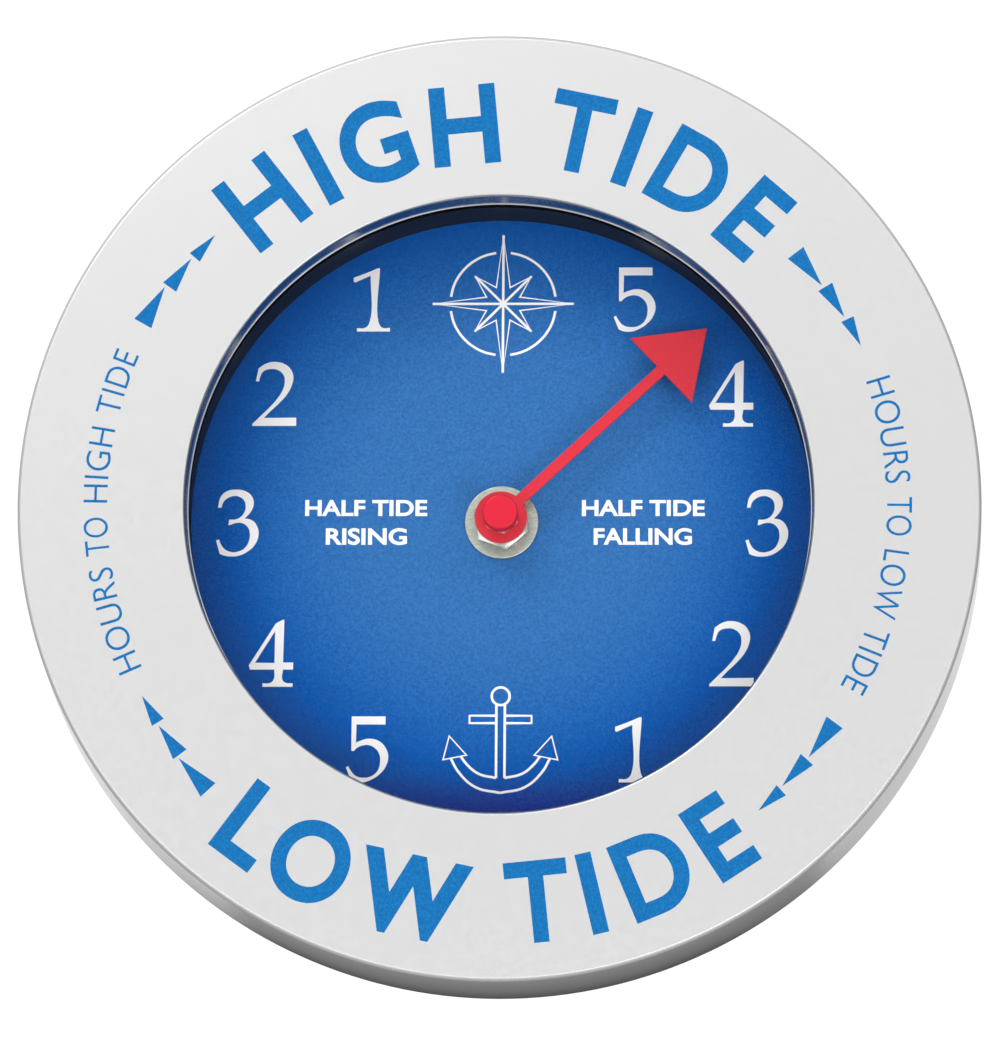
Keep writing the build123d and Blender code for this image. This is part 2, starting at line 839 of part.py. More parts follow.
def make_coil_bobbin():
    """Flanged former of the coil."""
    bobbin = rod_across(bobbin_tube_radius, -coil_half_length, coil_half_length, coil_height, core_middle)
    for side in (-1, 1):
        left, right = sorted((side * coil_half_length, side * (coil_half_length - bobbin_flange)))
        bobbin += rod_across(bobbin_flange_radius, left, right, coil_height, core_middle)
    return bobbin - core_bar(coil_half_length + cut_overrun, bobbin_bore_clearance, stator_high, core_high)


def make_coil_winding():
    """Wire wound between the bobbin's flanges."""
    half = coil_half_length - bobbin_flange
    wire = rod_across(winding_radius, -half, half, coil_height, core_middle)
    past = half + cut_overrun
    return wire - rod_across(bobbin_tube_radius, -past, past, coil_height, core_middle)


# Circuit, contacts and cell
board_left = -bay_half + board_margin
board_right = -plate_half - board_margin
board_bottom = train_bottom + board_margin
strip_top = plate_bottom + post_inset - post_radius - board_margin
column_middle = (board_left + board_right) / 2
chip_place = (board_bottom + plate_top) / 2
crystal_low = chip_place + chip_side / 2 + crystal_gap


def make_circuit_board():
    """Board along the train's side, with a strip that reaches both contacts."""
    column = block(board_left, board_right, board_bottom, plate_top, board_low, inside_front)
    return column + block(board_left, -board_left, board_bottom, strip_top, board_low, inside_front)


def make_driver_chip():
    """Moulded driver chip on the board."""
    half = chip_side / 2
    low = board_low - chip_thickness
    chip = block(-half, half, -half, half, low, board_low)
    return Pos(column_middle, chip_place) * chip


def make_quartz_crystal():
    """Crystal can lying on the board."""
    can = Rot(90, 0, 0) * Cylinder(crystal_radius, crystal_length)
    return Pos(column_middle, crystal_low + crystal_length / 2, board_low - crystal_radius) * can


def contact_strap(left, right):
    """Pad at the cell's end, with a strip through the wall to the board."""
    half_pad = contact_pad / 2
    low = cell_middle - half_pad
    strap = block(left, right, cell_height - half_pad, cell_height + half_pad, low, cell_middle + half_pad)
    strip_low = board_low - contact_strip
    return strap + block(left, right, cell_height, strip_top, strip_low, board_low)


def make_positive_contact():
    """Flat contact at the cell's nub."""
    return contact_strap(cell_right, bay_half)


def make_negative_contact():
    """Contact at the cell's base, with a bowed leaf that presses on it."""
    back = -bay_half
    face = back + contact_thickness
    crest = cell_left
    half_pad = contact_pad / 2
    half_tip = spring_tip / 2
    leaf = Polyline(
        (face, cell_height + half_pad),
        (crest, cell_height + half_tip),
        (crest, cell_height - half_tip),
        (face, cell_height - half_pad),
        (face, cell_height - half_pad + spring_tip),
        (crest - contact_thickness, cell_height - half_tip),
        (crest - contact_thickness, cell_height + half_tip),
        (face, cell_height + half_pad - spring_tip),
        close=True,
    )
    low = cell_middle - half_pad / 2
    bow = Pos(0, 0, low) * extrude(make_face(leaf), half_pad, dir=(0, 0, 1))
    return contact_strap(back, face) + bow


def make_dry_cell():
    """Round cell with its nub."""
    shoulder = cell_right - cell_nub_length
    cell = rod_across(cell_diameter / 2, cell_left, shoulder, cell_height, cell_middle)
    return cell + rod_across(cell_nub_radius, shoulder, cell_right, cell_height, cell_middle)


pieces = {
    "case_ring": make_case_ring,
    "lens": make_lens,
    "lens_gasket": make_lens_gasket,
    "spacer_ring": make_spacer_ring,
    "dial": make_dial,
    "back_cover": make_back_cover,
    "back_screws": make_back_screws,
    "hanger_plate": make_hanger_plate,
    "hanger_rivets": make_hanger_rivets,
    "threaded_bush": make_threaded_bush,
    "rubber_washer": make_rubber_washer,
    "dial_washer": make_dial_washer,
    "dial_nut": make_dial_nut,
    "tide_arbor": make_tide_arbor,
    "pointer": make_pointer,
    "pointer_nut": make_pointer_nut,
    "pointer_cap": make_pointer_cap,
    "movement_case": make_movement_case,
    "movement_cover": make_movement_cover,
    "train_plate": make_train_plate,
    "tide_wheel": make_tide_wheel,
    "motion_wheel": make_motion_wheel,
    "setting_knob": make_setting_knob,
    "cannon_pinion": make_cannon_pinion,
    "clutch_spring": make_clutch_spring,
    "centre_wheel": make_centre_wheel,
    "third_wheel": make_third_wheel,
    "fourth_wheel": make_fourth_wheel,
    "fifth_wheel": make_fifth_wheel,
    "rotor": make_rotor,
    "rotor_magnet": make_rotor_magnet,
    "stator": make_stator,
    "coil_core": make_coil_core,
    "coil_bobbin": make_coil_bobbin,
    "coil_winding": make_coil_winding,
    "circuit_board": make_circuit_board,
    "driver_chip": make_driver_chip,
    "quartz_crystal": make_quartz_crystal,
    "positive_contact": make_positive_contact,
    "negative_contact": make_negative_contact,
    "dry_cell": make_dry_cell,
}

# Turn the face-up drawing upright, so that the dial faces -Y, and write each piece
upright = Rot(90, 0, 0)
os.makedirs("parts", exist_ok=True)
for name, make in pieces.items():
    export_step(upright * make(), os.path.join("parts", name + ".step"))
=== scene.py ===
"""Looks of the tide clock: smooth pieces, print, finishes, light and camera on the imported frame."""
import math

import bmesh
import bpy
from mathutils import Matrix, Vector


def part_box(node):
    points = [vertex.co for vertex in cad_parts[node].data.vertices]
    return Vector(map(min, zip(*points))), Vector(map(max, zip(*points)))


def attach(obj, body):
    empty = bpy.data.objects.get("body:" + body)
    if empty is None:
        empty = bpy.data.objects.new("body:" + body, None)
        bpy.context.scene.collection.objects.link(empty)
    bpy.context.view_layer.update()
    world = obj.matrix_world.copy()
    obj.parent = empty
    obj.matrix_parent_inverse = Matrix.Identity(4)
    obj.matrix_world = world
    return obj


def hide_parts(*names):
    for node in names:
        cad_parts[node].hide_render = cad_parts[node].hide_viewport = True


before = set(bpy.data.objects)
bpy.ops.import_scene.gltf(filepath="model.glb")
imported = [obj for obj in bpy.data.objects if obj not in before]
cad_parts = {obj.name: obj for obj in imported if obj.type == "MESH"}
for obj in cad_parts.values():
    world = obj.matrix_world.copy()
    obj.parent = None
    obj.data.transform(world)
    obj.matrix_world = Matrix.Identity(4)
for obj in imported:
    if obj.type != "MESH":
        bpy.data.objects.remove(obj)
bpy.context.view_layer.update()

mm = 0.001
turn_steps = 224
corner_steps = 6
ink = 0.03 * mm


# Sizes read from the frame

def heights(node):
    """Distances of a node's back and front from the wall."""
    low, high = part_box(node)
    return -high.y, -low.y


def radii(node):
    """Smallest and largest distance of a node's points from the dial's axis."""
    spans = [math.hypot(point.co.x, point.co.z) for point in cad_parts[node].data.vertices]
    return min(spans), max(spans)


# Shapes

def turned(corners, steps=turn_steps):
    """A solid turned about the dial's axis, from corners given as radius, height and rounding."""
    shape = bmesh.new()
    points = [shape.verts.new((radius, -height, 0)) for radius, height, rounding in corners]
    shape.faces.new(points)
    for point, (radius, height, rounding) in zip(points, corners):
        if rounding:
            bmesh.ops.bevel(
                shape, geom=[point], offset=rounding, affect="VERTICES",
                segments=corner_steps, profile=0.5, material=-1,
            )
    bmesh.ops.delete(shape, geom=shape.faces[:], context="FACES_ONLY")
    bmesh.ops.spin(
        shape, geom=shape.verts[:] + shape.edges[:], cent=(0, 0, 0), axis=(0, 1, 0),
        angle=math.tau, steps=steps, use_merge=True,
    )
    return cleaned(shape)


def cleaned(shape):
    bmesh.ops.remove_doubles(shape, verts=shape.verts[:], dist=0.0005 * mm)
    bmesh.ops.recalc_face_normals(shape, faces=shape.faces[:])
    return shape


def joined(*shapes):
    """One shape that holds all the others."""
    whole = bmesh.new()
    for shape in shapes:
        mesh = bpy.data.meshes.new("held")
        shape.to_mesh(mesh)
        shape.free()
        whole.from_mesh(mesh)
        bpy.data.meshes.remove(mesh)
    return whole


def moved(shape, *steps):
    """The shape after these matrices, the first one first."""
    for step in steps:
        bmesh.ops.transform(shape, matrix=step, verts=shape.verts[:])
    return shape


def edges_rounded(shape, size, least=40, segments=2):
    """The shape with its sharp edges rounded a little."""
    sharp = [
        edge for edge in shape.edges
        if len(edge.link_faces) == 2 and edge.calc_face_angle() > math.radians(least)
    ]
    bmesh.ops.bevel(
        shape, geom=sharp, offset=size, affect="EDGES", segments=segments,
        profile=0.5, material=-1, clamp_overlap=True,
    )
    return shape


def node_shape(node, edge):
    """A copy of a frame node with flat faces made whole and sharp edges rounded."""
    shape = bmesh.new()
    shape.from_mesh(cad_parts[node].data)
    cleaned(shape)
    bmesh.ops.dissolve_limit(
        shape, angle_limit=math.radians(0.5), use_dissolve_boundaries=False,
        verts=shape.verts[:], edges=shape.edges[:], delimit=set(),
    )
    if edge:
        edges_rounded(shape, edge)
    return shape


def ringed(rings):
    """A closed skin over rings of equally many points, the last ring joined to the first."""
    shape = bmesh.new()
    loops = [[shape.verts.new(point) for point in ring] for ring in rings]
    count = len(rings[0])
    for number, ring in enumerate(loops):
        after = loops[(number + 1) % len(loops)]
        for step in range(count):
            follow = (step + 1) % count
            shape.faces.new((ring[step], ring[follow], after[follow], after[step]))
    return cleaned(shape)


def hex_nut(low, high, flats, bore, turn, rounding):
    """A hex nut about the dial's axis, with its six corners cut by cones at both ends."""
    count = 144
    sides = [math.tau * step / count for step in range(count)]
    inner = flats / 2 - rounding
    slope = math.tan(math.radians(28))

    def hex_radius(angle):
        part = (angle - turn) % (math.tau / 6) - math.tau / 12
        return flats / 2 / math.cos(part)

    def ring(radius_at, height_at):
        return [
            (radius_at(a) * math.sin(a), -height_at(a), radius_at(a) * math.cos(a)) for a in sides
        ]

    def drop(angle):
        return (hex_radius(angle) - inner) * slope

    return ringed([
        ring(lambda a: bore, lambda a: low),
        ring(lambda a: inner, lambda a: low),
        ring(hex_radius, lambda a: low + drop(a)),
        ring(hex_radius, lambda a: high - drop(a)),
        ring(lambda a: inner, lambda a: high),
        ring(lambda a: bore, lambda a: high),
    ])


def sheet_shape(outline, low, high, edge):
    """A flat sheet with this outline in x and z, between two heights, with rounded edges."""
    shape = bmesh.new()
    face = shape.faces.new([shape.verts.new((x, -low, z)) for x, z in outline])
    grown = bmesh.ops.extrude_face_region(shape, geom=[face])["geom"]
    tops = [item for item in grown if isinstance(item, bmesh.types.BMVert)]
    bmesh.ops.translate(shape, verts=tops, vec=(0, low - high, 0))
    cleaned(shape)
    return edges_rounded(shape, edge, least=20)


def drawn(curve):
    """The mesh shape of a curve or text, which lies in x and y."""
    thing = bpy.data.objects.new("drawn", curve)
    bpy.context.scene.collection.objects.link(thing)
    graph = bpy.context.evaluated_depsgraph_get()
    mesh = bpy.data.meshes.new_from_object(thing.evaluated_get(graph))
    shape = bmesh.new()
    shape.from_mesh(mesh)
    bpy.data.objects.remove(thing)
    bpy.data.meshes.remove(mesh)
    bmesh.ops.remove_doubles(shape, verts=shape.verts[:], dist=0.00002)
    return shape


def word(text, weight, spacing=1.0):
    """A word in the plain built-in lettering, with its capitals one unit high on the baseline."""
    curve = bpy.data.curves.new("word", "FONT")
    curve.body = text
    curve.offset = weight
    curve.extrude = 0.5
    curve.space_character = spacing
    shape = drawn(curve)
    capital = 0.682 + 2 * weight
    low = min(point.co.x for point in shape.verts)
    return moved(
        shape, Matrix.Translation((-low, weight, 0)), Matrix.Diagonal((1 / capital, 1 / capital, 1, 1)),
    )


def width(shape):
    spots = [point.co.x for point in shape.verts]
    return max(spots) - min(spots)


def islands(shape):
    """The groups of joined points of a shape."""
    left = set(shape.verts)
    groups = []
    while left:
        group = set()
        ahead = [left.pop()]
        while ahead:
            point = ahead.pop()
            group.add(point)
            for edge in point.link_edges:
                other = edge.other_vert(point)
                if other in left:
                    left.remove(other)
                    ahead.append(other)
        groups.append(list(group))
    return groups


def printed(shape, height):
    """Print drawn in x and y, half a unit deep each way, laid as thin ink on a face at this height."""
    lay = Matrix.Rotation(math.radians(90), 4, "X")
    return moved(
        shape, Matrix.Diagonal((1, 1, 2 * ink, 1)), lay, Matrix.Translation((0, -height, 0)),
    )


def turn_clockwise(degrees):
    return Matrix.Rotation(-math.radians(degrees), 4, "Z")


def outlined(unit, *loops):
    """Filled outlines whose points are x, y and 1 for a corner or 0 for a smooth point."""
    curve = bpy.data.curves.new("outline", "CURVE")
    curve.dimensions = "2D"
    curve.fill_mode = "BOTH"
    curve.extrude = 0.5
    curve.resolution_u = 8
    for loop in loops:
        line = curve.splines.new("BEZIER")
        line.bezier_points.add(len(loop) - 1)
        line.use_cyclic_u = True
        for point, (x, y, corner) in zip(line.bezier_points, loop):
            point.co = (x * unit[0], y * unit[1], 0)
            point.handle_left_type = "VECTOR" if corner else "AUTO"
            point.handle_right_type = point.handle_left_type
    return drawn(curve)


def stroke(points, thickness, smooth=False, closed=False):
    """A line of even thickness through points in x and y."""
    curve = bpy.data.curves.new("stroke", "CURVE")
    curve.dimensions = "3D"
    curve.bevel_depth = thickness / 2
    curve.bevel_resolution = 2
    curve.resolution_u = 6
    curve.use_fill_caps = True
    line = curve.splines.new("BEZIER")
    line.bezier_points.add(len(points) - 1)
    line.use_cyclic_u = closed
    for point, (x, y) in zip(line.bezier_points, points):
        point.co = (x, y, 0)
        point.handle_left_type = "AUTO" if smooth else "VECTOR"
        point.handle_right_type = point.handle_left_type
    return moved(drawn(curve), Matrix.Diagonal((1, 1, 1 / thickness, 1)))


def piece(name, shape, finish, body, slot, *nodes, sharp=32):
    """Places a shape as a shown piece that rides on a body and stands for these frame nodes."""
    mesh = bpy.data.meshes.new(name)
    shape.to_mesh(mesh)
    shape.free()
    mesh.polygons.foreach_set("use_smooth", [True] * len(mesh.polygons))
    mesh.set_sharp_from_angle(angle=math.radians(sharp))
    mesh.materials.append(finish)
    thing = bpy.data.objects.new(name, mesh)
    bpy.context.scene.collection.objects.link(thing)
    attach(thing, body)
    if nodes:
        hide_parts(*nodes)
    even = thing.modifiers.new("even shading", "WEIGHTED_NORMAL")
    even.keep_sharp = True
    return thing


# Finishes

def finish(name, colour, metallic, roughness, specular=0.5):
    """A plain finish."""
    material = bpy.data.materials.new(name)
    material.use_nodes = True
    shader = material.node_tree.nodes["Principled BSDF"]
    shader.inputs["Base Color"].default_value = (*colour, 1)
    shader.inputs["Metallic"].default_value = metallic
    shader.inputs["Roughness"].default_value = roughness
    shader.inputs["Specular IOR Level"].default_value = specular
    return material


def node(material, kind, **values):
    made = material.node_tree.nodes.new(kind)
    for key, value in values.items():
        if key in made.inputs:
            made.inputs[key].default_value = value
        else:
            setattr(made, key, value)
    return made


def place_of(material):
    return node(material, "ShaderNodeTexCoord").outputs["Object"]


def noise(material, scale, detail=3.0, stretch=None):
    """A noise value over the object's own coordinates."""
    link = material.node_tree.links.new
    source = place_of(material)
    if stretch:
        scaled = node(material, "ShaderNodeMapping")
        scaled.inputs["Scale"].default_value = stretch
        link(source, scaled.inputs["Vector"])
        source = scaled.outputs["Vector"]
    made = node(material, "ShaderNodeTexNoise", Scale=scale, Detail=detail)
    link(source, made.inputs["Vector"])
    return made.outputs["Fac"]


def round_grain(material, scale):
    """A noise value that changes only with the distance from the dial's axis."""
    link = material.node_tree.links.new
    flat = node(material, "ShaderNodeMapping")
    flat.inputs["Scale"].default_value = (1, 0, 1)
    link(place_of(material), flat.inputs["Vector"])
    length = node(material, "ShaderNodeVectorMath", operation="LENGTH")
    link(flat.outputs["Vector"], length.inputs[0])
    made = node(material, "ShaderNodeTexNoise", noise_dimensions="1D", Scale=scale, Detail=2.0)
    link(length.outputs["Value"], made.inputs["W"])
    return made.outputs["Fac"]


def bumped(material, value, strength, distance):
    link = material.node_tree.links.new
    bump = node(material, "ShaderNodeBump", Strength=strength, Distance=distance)
    link(value, bump.inputs["Height"])
    link(bump.outputs["Normal"], material.node_tree.nodes["Principled BSDF"].inputs["Normal"])
    return material


def ramped(material, value, socket, *stops):
    """Sends a value through a ramp of place and colour or grey into a socket of the finish."""
    link = material.node_tree.links.new
    ramp = node(material, "ShaderNodeValToRGB")
    band = ramp.color_ramp
    while len(band.elements) < len(stops):
        band.elements.new(0.5)
    for element, (place, colour) in zip(band.elements, stops):
        element.position = place
        element.color = (*colour, 1) if isinstance(colour, tuple) else (colour, colour, colour, 1)
    link(value, ramp.inputs["Fac"])
    link(ramp.outputs["Color"], material.node_tree.nodes["Principled BSDF"].inputs[socket])
    return material


def axis_distance(material, reach, rise):
    """Distance from a line that lies this much above the dial's axis, as a share of reach."""
    link = material.node_tree.links.new
    flat = node(material, "ShaderNodeMapping")
    flat.inputs["Scale"].default_value = (1 / reach, 0, 1 / reach)
    flat.inputs["Location"].default_value = (0, 0, -rise / reach)
    link(place_of(material), flat.inputs["Vector"])
    length = node(material, "ShaderNodeVectorMath", operation="LENGTH")
    link(flat.outputs["Vector"], length.inputs[0])
    return length.outputs["Value"]


def depth_share(material, front, back):
    """Place between two heights above the wall, 0 at the front one and 1 at the back one."""
    link = material.node_tree.links.new
    parts = node(material, "ShaderNodeSeparateXYZ")
    link(place_of(material), parts.inputs["Vector"])
    share = node(material, "ShaderNodeMapRange")
    share.inputs["From Min"].default_value = -front
    share.inputs["From Max"].default_value = -back
    link(parts.outputs["Y"], share.inputs["Value"])
    return share.outputs["Result"]


def low_depth(material, front, back, top, bottom):
    """Place between two heights above the wall, counted only below a level."""
    link = material.node_tree.links.new
    parts = node(material, "ShaderNodeSeparateXYZ")
    link(place_of(material), parts.inputs["Vector"])
    share = node(material, "ShaderNodeMapRange")
    share.inputs["From Min"].default_value = top
    share.inputs["From Max"].default_value = bottom
    link(parts.outputs["Z"], share.inputs["Value"])
    both = node(material, "ShaderNodeMath", operation="MULTIPLY")
    link(share.outputs["Result"], both.inputs[0])
    link(depth_share(material, front, back), both.inputs[1])
    return both.outputs["Value"]


def satin(name, grey, rough):
    material = finish(name, (grey, grey, grey * 1.005), 1.0, rough)
    ramped(material, noise(material, 900.0), "Roughness", (0.3, rough - 0.02), (0.7, rough + 0.03))
    return bumped(material, noise(material, 5200.0, 2.0), 0.03, 0.02 * mm)


def speckled(material, light, dark, scale):
    """Fine even speckle between two near colours."""
    return ramped(material, noise(material, scale, 2.0), "Base Color", (0.36, dark), (0.64, light))


def toned(material, value, low, high):
    """Darkens and lightens the finish's colour with a value, between two factors."""
    tree = material.node_tree
    socket = tree.nodes["Principled BSDF"].inputs["Base Color"]
    factor = node(material, "ShaderNodeMapRange")
    factor.inputs["From Min"].default_value = 0.3
    factor.inputs["From Max"].default_value = 0.7
    factor.inputs["To Min"].default_value = low
    factor.inputs["To Max"].default_value = high
    tree.links.new(value, factor.inputs["Value"])
    scaled = node(material, "ShaderNodeVectorMath", operation="SCALE")
    if socket.is_linked:
        tree.links.new(socket.links[0].from_socket, scaled.inputs[0])
    else:
        scaled.inputs[0].default_value = socket.default_value[:3]
    tree.links.new(factor.outputs["Result"], scaled.inputs["Scale"])
    tree.links.new(scaled.outputs["Vector"], socket)
    return material


def painted_bottom_shade(material, top, bottom, colour):
    """Fades the finish's colour into another one between two levels: a painted shade towards the
    bottom.
    """
    tree = material.node_tree
    socket = tree.nodes["Principled BSDF"].inputs["Base Color"]
    parts = node(material, "ShaderNodeSeparateXYZ")
    tree.links.new(place_of(material), parts.inputs["Vector"])
    share = node(material, "ShaderNodeMapRange")
    share.inputs["From Min"].default_value = top
    share.inputs["From Max"].default_value = bottom
    tree.links.new(parts.outputs["Z"], share.inputs["Value"])
    blend = node(material, "ShaderNodeMix", data_type="RGBA")
    tree.links.new(share.outputs["Result"], blend.inputs["Factor"])
    tree.links.new(socket.links[0].from_socket, blend.inputs["A"])
    blend.inputs["B"].default_value = (*colour, 1)
    tree.links.new(blend.outputs["Result"], socket)
    return material


def plastic(name, colour, rough):
    material = finish(name, colour, 0.0, rough, 0.4)
    return bumped(material, noise(material, 2600.0, 2.0), 0.08, 0.04 * mm)


aluminium = satin("satin aluminium", 0.625, 0.40)
cut_aluminium = finish("cut aluminium", (0.66, 0.66, 0.66), 1.0, 0.11)
edge_aluminium = satin("edge aluminium", 0.56, 0.65)
# A darker, slightly blue copy of the ring's metal for its inner lip: painted shade inside the opening.
shaded_lip_aluminium = finish("shaded lip aluminium", (0.31, 0.33, 0.36), 1.0, 0.25)
glass = finish("clear glass", (0.04, 0.045, 0.045), 0.0, 0.04)
glass.node_tree.nodes["Principled BSDF"].inputs["Alpha"].default_value = 0.03
rubber = plastic("black rubber", (0.012, 0.012, 0.013), 0.75)
spacer_black = finish("black spacer", (0.009, 0.010, 0.010), 0.0, 0.5, 0.25)
# Near-black finish for a painted shadow in the gap under the ring's lip.
gap_shadow_black = finish("painted gap shadow", (0.002, 0.002, 0.002), 0.0, 0.6, 0.05)
dial_blue = finish("blue dial", (0.04, 0.2, 0.6), 0.0, 0.42, 0.03)
back_black = plastic("black back", (0.02, 0.02, 0.021), 0.52)
steel = finish("plated steel", (0.62, 0.62, 0.63), 1.0, 0.28)
brass = finish("brass", (0.80, 0.58, 0.25), 1.0, 0.3)
pointer_red = finish("red pointer", (0.79, 0.027, 0.048), 0.0, 0.36, 0.2)
cap_red = finish("red cap", (0.725, 0.010, 0.038), 0.0, 0.25, 0.25)
movement_black = plastic("black movement", (0.014, 0.014, 0.015), 0.45)
wheel_white = plastic("wheel plastic", (0.78, 0.77, 0.72), 0.5)
iron = finish("motor iron", (0.36, 0.36, 0.37), 1.0, 0.45)
copper = finish("copper wire", (0.75, 0.33, 0.16), 1.0, 0.32)
board_green = plastic("green board", (0.02, 0.16, 0.07), 0.4)
cell_grey = finish("cell jacket", (0.42, 0.44, 0.46), 0.5, 0.34)
cell_dark = finish("cell band", (0.03, 0.05, 0.075), 0.3, 0.34)
dial_metal = finish("dial back", (0.46, 0.46, 0.47), 1.0, 0.42)
ring_blue = finish("ring print", (0.010, 0.19, 0.52), 0.0, 0.5, 0.06)
dial_white = finish("dial print", (0.97, 0.97, 0.965), 0.0, 0.5, 0.1)
washer_steel = finish("washer steel", (0.60, 0.64, 0.57), 1.0, 0.32)
nut_steel = finish("nut steel", (0.43, 0.43, 0.41), 1.0, 0.26)
# A much darker copy of the nut's steel for its flanks: painted shade.
nut_flank_shade = finish("nut flank shade", (0.11, 0.11, 0.105), 1.0, 0.25)
# A paler, less metallic copy of the steel for the small nut: painted light where it sits in the cap's
# shade.
pale_lit_steel = finish("pale lit steel", (0.78, 0.79, 0.75), 0.3, 0.2)

# The dial's blue darkens towards its rim: partly the print's own tone, partly painted shade of the deep
# recess.
ramped(
    dial_blue, axis_distance(dial_blue, 74 * mm, 6 * mm), "Base Color",
    (0.0, (0.037, 0.167, 0.445)), (0.42, (0.033, 0.160, 0.445)), (0.55, (0.025, 0.146, 0.438)),
    (0.70, (0.011, 0.120, 0.435)), (0.81, (0.002, 0.095, 0.42)), (0.90, (0.009, 0.077, 0.345)),
)
# Painted shade: the dial fades to a darker purple blue along its bottom edge.
painted_bottom_shade(dial_blue, -55 * mm, -63 * mm, (0.017, 0.036, 0.30))
toned(dial_blue, noise(dial_blue, 1900.0, 1.0), 0.84, 1.15)
toned(washer_steel, noise(washer_steel, 700.0, 3.0, (1.0, 1.0, 7.0)), 0.75, 1.15)
bumped(dial_blue, noise(dial_blue, 3800.0, 2.0), 0.10, 0.03 * mm)
bumped(washer_steel, round_grain(washer_steel, 5200.0), 0.3, 0.03 * mm)
# Painted shade: the pointer's red darkens towards its head.
ramped(
    pointer_red, axis_distance(pointer_red, 58 * mm, 0), "Base Color",
    (0.0, (0.715, 0.027, 0.048)), (0.6, (0.715, 0.027, 0.048)), (0.85, (0.62, 0.025, 0.043)),
)
speckled(ring_blue, (0.0074, 0.164, 0.445), (0.0064, 0.119, 0.33), 2000.0)


# Case, glass and dial

ring_back, ring_front = heights("case_ring")
opening_radius, rim_radius = radii("case_ring")
lens_back, lens_front = heights("lens")
lens_radius = radii("lens")[1]
lip_back = heights("lens_gasket")[1]
spacer_back, spacer_front = heights("spacer_ring")
spacer_inner, spacer_flange = radii("spacer_ring")
dial_front = heights("dial")[1]

ring_wall = 2.0 * mm
edge_radius = 0.9 * mm
lip_radius = 0.75 * mm
rim_flare = 0.95 * mm
lip_ledge = 0.22 * mm
seat_inner = 71.3 * mm
seat_back = 33.9 * mm
ring_under = ring_front - ring_wall
face_radius = rim_radius - rim_flare
boss_radius = 3.5 * mm
boss_bore = 1.2 * mm
screw_spots = [
    (math.sin(math.radians(30 + 60 * k)), math.cos(math.radians(30 + 60 * k))) for k in range(6)
]
screw_head_radius = 2.8 * mm
screw_circle = radii("back_screws")[1] - screw_head_radius
boss_back = 23.0 * mm


def ring_shape():
    shell = turned([
        (opening_radius - lip_ledge, lip_back, 0),
        (opening_radius - lip_ledge, lip_back + lip_ledge, 0.1 * mm),
        (opening_radius, lip_back + lip_ledge, 0),
        (opening_radius, ring_front, lip_radius),
        (face_radius, ring_front, edge_radius),
        (rim_radius, ring_back, 0.35 * mm),
        (rim_radius - ring_wall, ring_back, 0.35 * mm),
        (face_radius - ring_wall, ring_under, 0.6 * mm),
        (seat_inner + ring_wall, ring_under, 0.4 * mm),
        (seat_inner + ring_wall, seat_back, 0.2 * mm),
        (seat_inner, seat_back, 0.2 * mm),
        (seat_inner, ring_under, 0),
        (opening_radius + ring_wall, ring_under, 0),
        (opening_radius + ring_wall, lip_back, 0.2 * mm),
    ])
    bosses = []
    for across, up in screw_spots:
        boss = turned([
            (boss_bore, boss_back, 0),
            (boss_radius, boss_back, 0.3 * mm),
            (boss_radius, ring_under, 0),
            (boss_bore, ring_under, 0),
        ], 40)
        bosses.append(moved(boss, Matrix.Translation((across * screw_circle, 0, up * screw_circle))))
    return joined(shell, *bosses)


def spacer_shape():
    """The dark wall between glass and dial, with fine turned lines on its inner side."""
    wall = 1.6 * mm
    flange = 1.5 * mm
    line = 0.06 * mm
    count = 9
    inner = []
    for step in range(count):
        low = spacer_back + (spacer_front - spacer_back) * step / count
        high = spacer_back + (spacer_front - spacer_back) * (step + 1) / count
        inner.append((spacer_inner, low + line, 0))
        inner.append((spacer_inner, high - line, 0))
        if step < count - 1:
            inner.append((spacer_inner + line, high, 0))
    return turned(inner + [
        (lens_radius, spacer_front, 0.2 * mm),
        (lens_radius, spacer_front - flange, 0.2 * mm),
        (spacer_inner + wall, spacer_front - flange, 0),
        (spacer_inner + wall, spacer_back + flange, 0),
        (spacer_flange, spacer_back + flange, 0.2 * mm),
        (spacer_flange, spacer_back, 0.2 * mm),
    ])


def disc_shape(node_name, edge):
    """A turned disc or washer with the node's own sizes."""
    low, high = heights(node_name)
    inner, outer = radii(node_name)
    return turned([
        (inner, low, edge), (outer, low, edge), (outer, high, edge), (inner, high, edge),
    ])


shell = piece("ring_shell", ring_shape(), aluminium, "case", "satin_aluminium", "case_ring")
shell.data.materials.append(cut_aluminium)
# Painted shade: the inner lip faces take the darker copy of the ring's metal.
shell.data.materials.append(shaded_lip_aluminium)
shell.data.materials.append(edge_aluminium)
cut_facing = 0.3
edge_facing = 0.985
lip_facing = 0.93
for face in shell.data.polygons:
    facing = abs(face.normal.y)
    outside = math.hypot(face.center.x, face.center.z) > lens_radius
    if outside and facing < cut_facing:
        face.material_index = 1
    elif outside and facing < edge_facing:
        face.material_index = 3
    elif not outside and facing < lip_facing:
        face.material_index = 2
# Painted shade: the edge tint of the ring's side darkens towards its rear below a level, so the lower
# side looks darker at grazing angles.
ramped(
    cut_aluminium, low_depth(cut_aluminium, ring_front, ring_back, -62 * mm, -92 * mm), "Specular Tint",
    (0.0, 0.56), (0.15, 0.52), (0.6, 0.38), (1.0, 0.18),
)
piece("front_glass", turned([
    (0, lens_back, 0), (lens_radius, lens_back, 0.25 * mm),
    (lens_radius, lens_front, 0.25 * mm), (0, lens_front, 0),
]), glass, "case", "clear_glass", "lens")
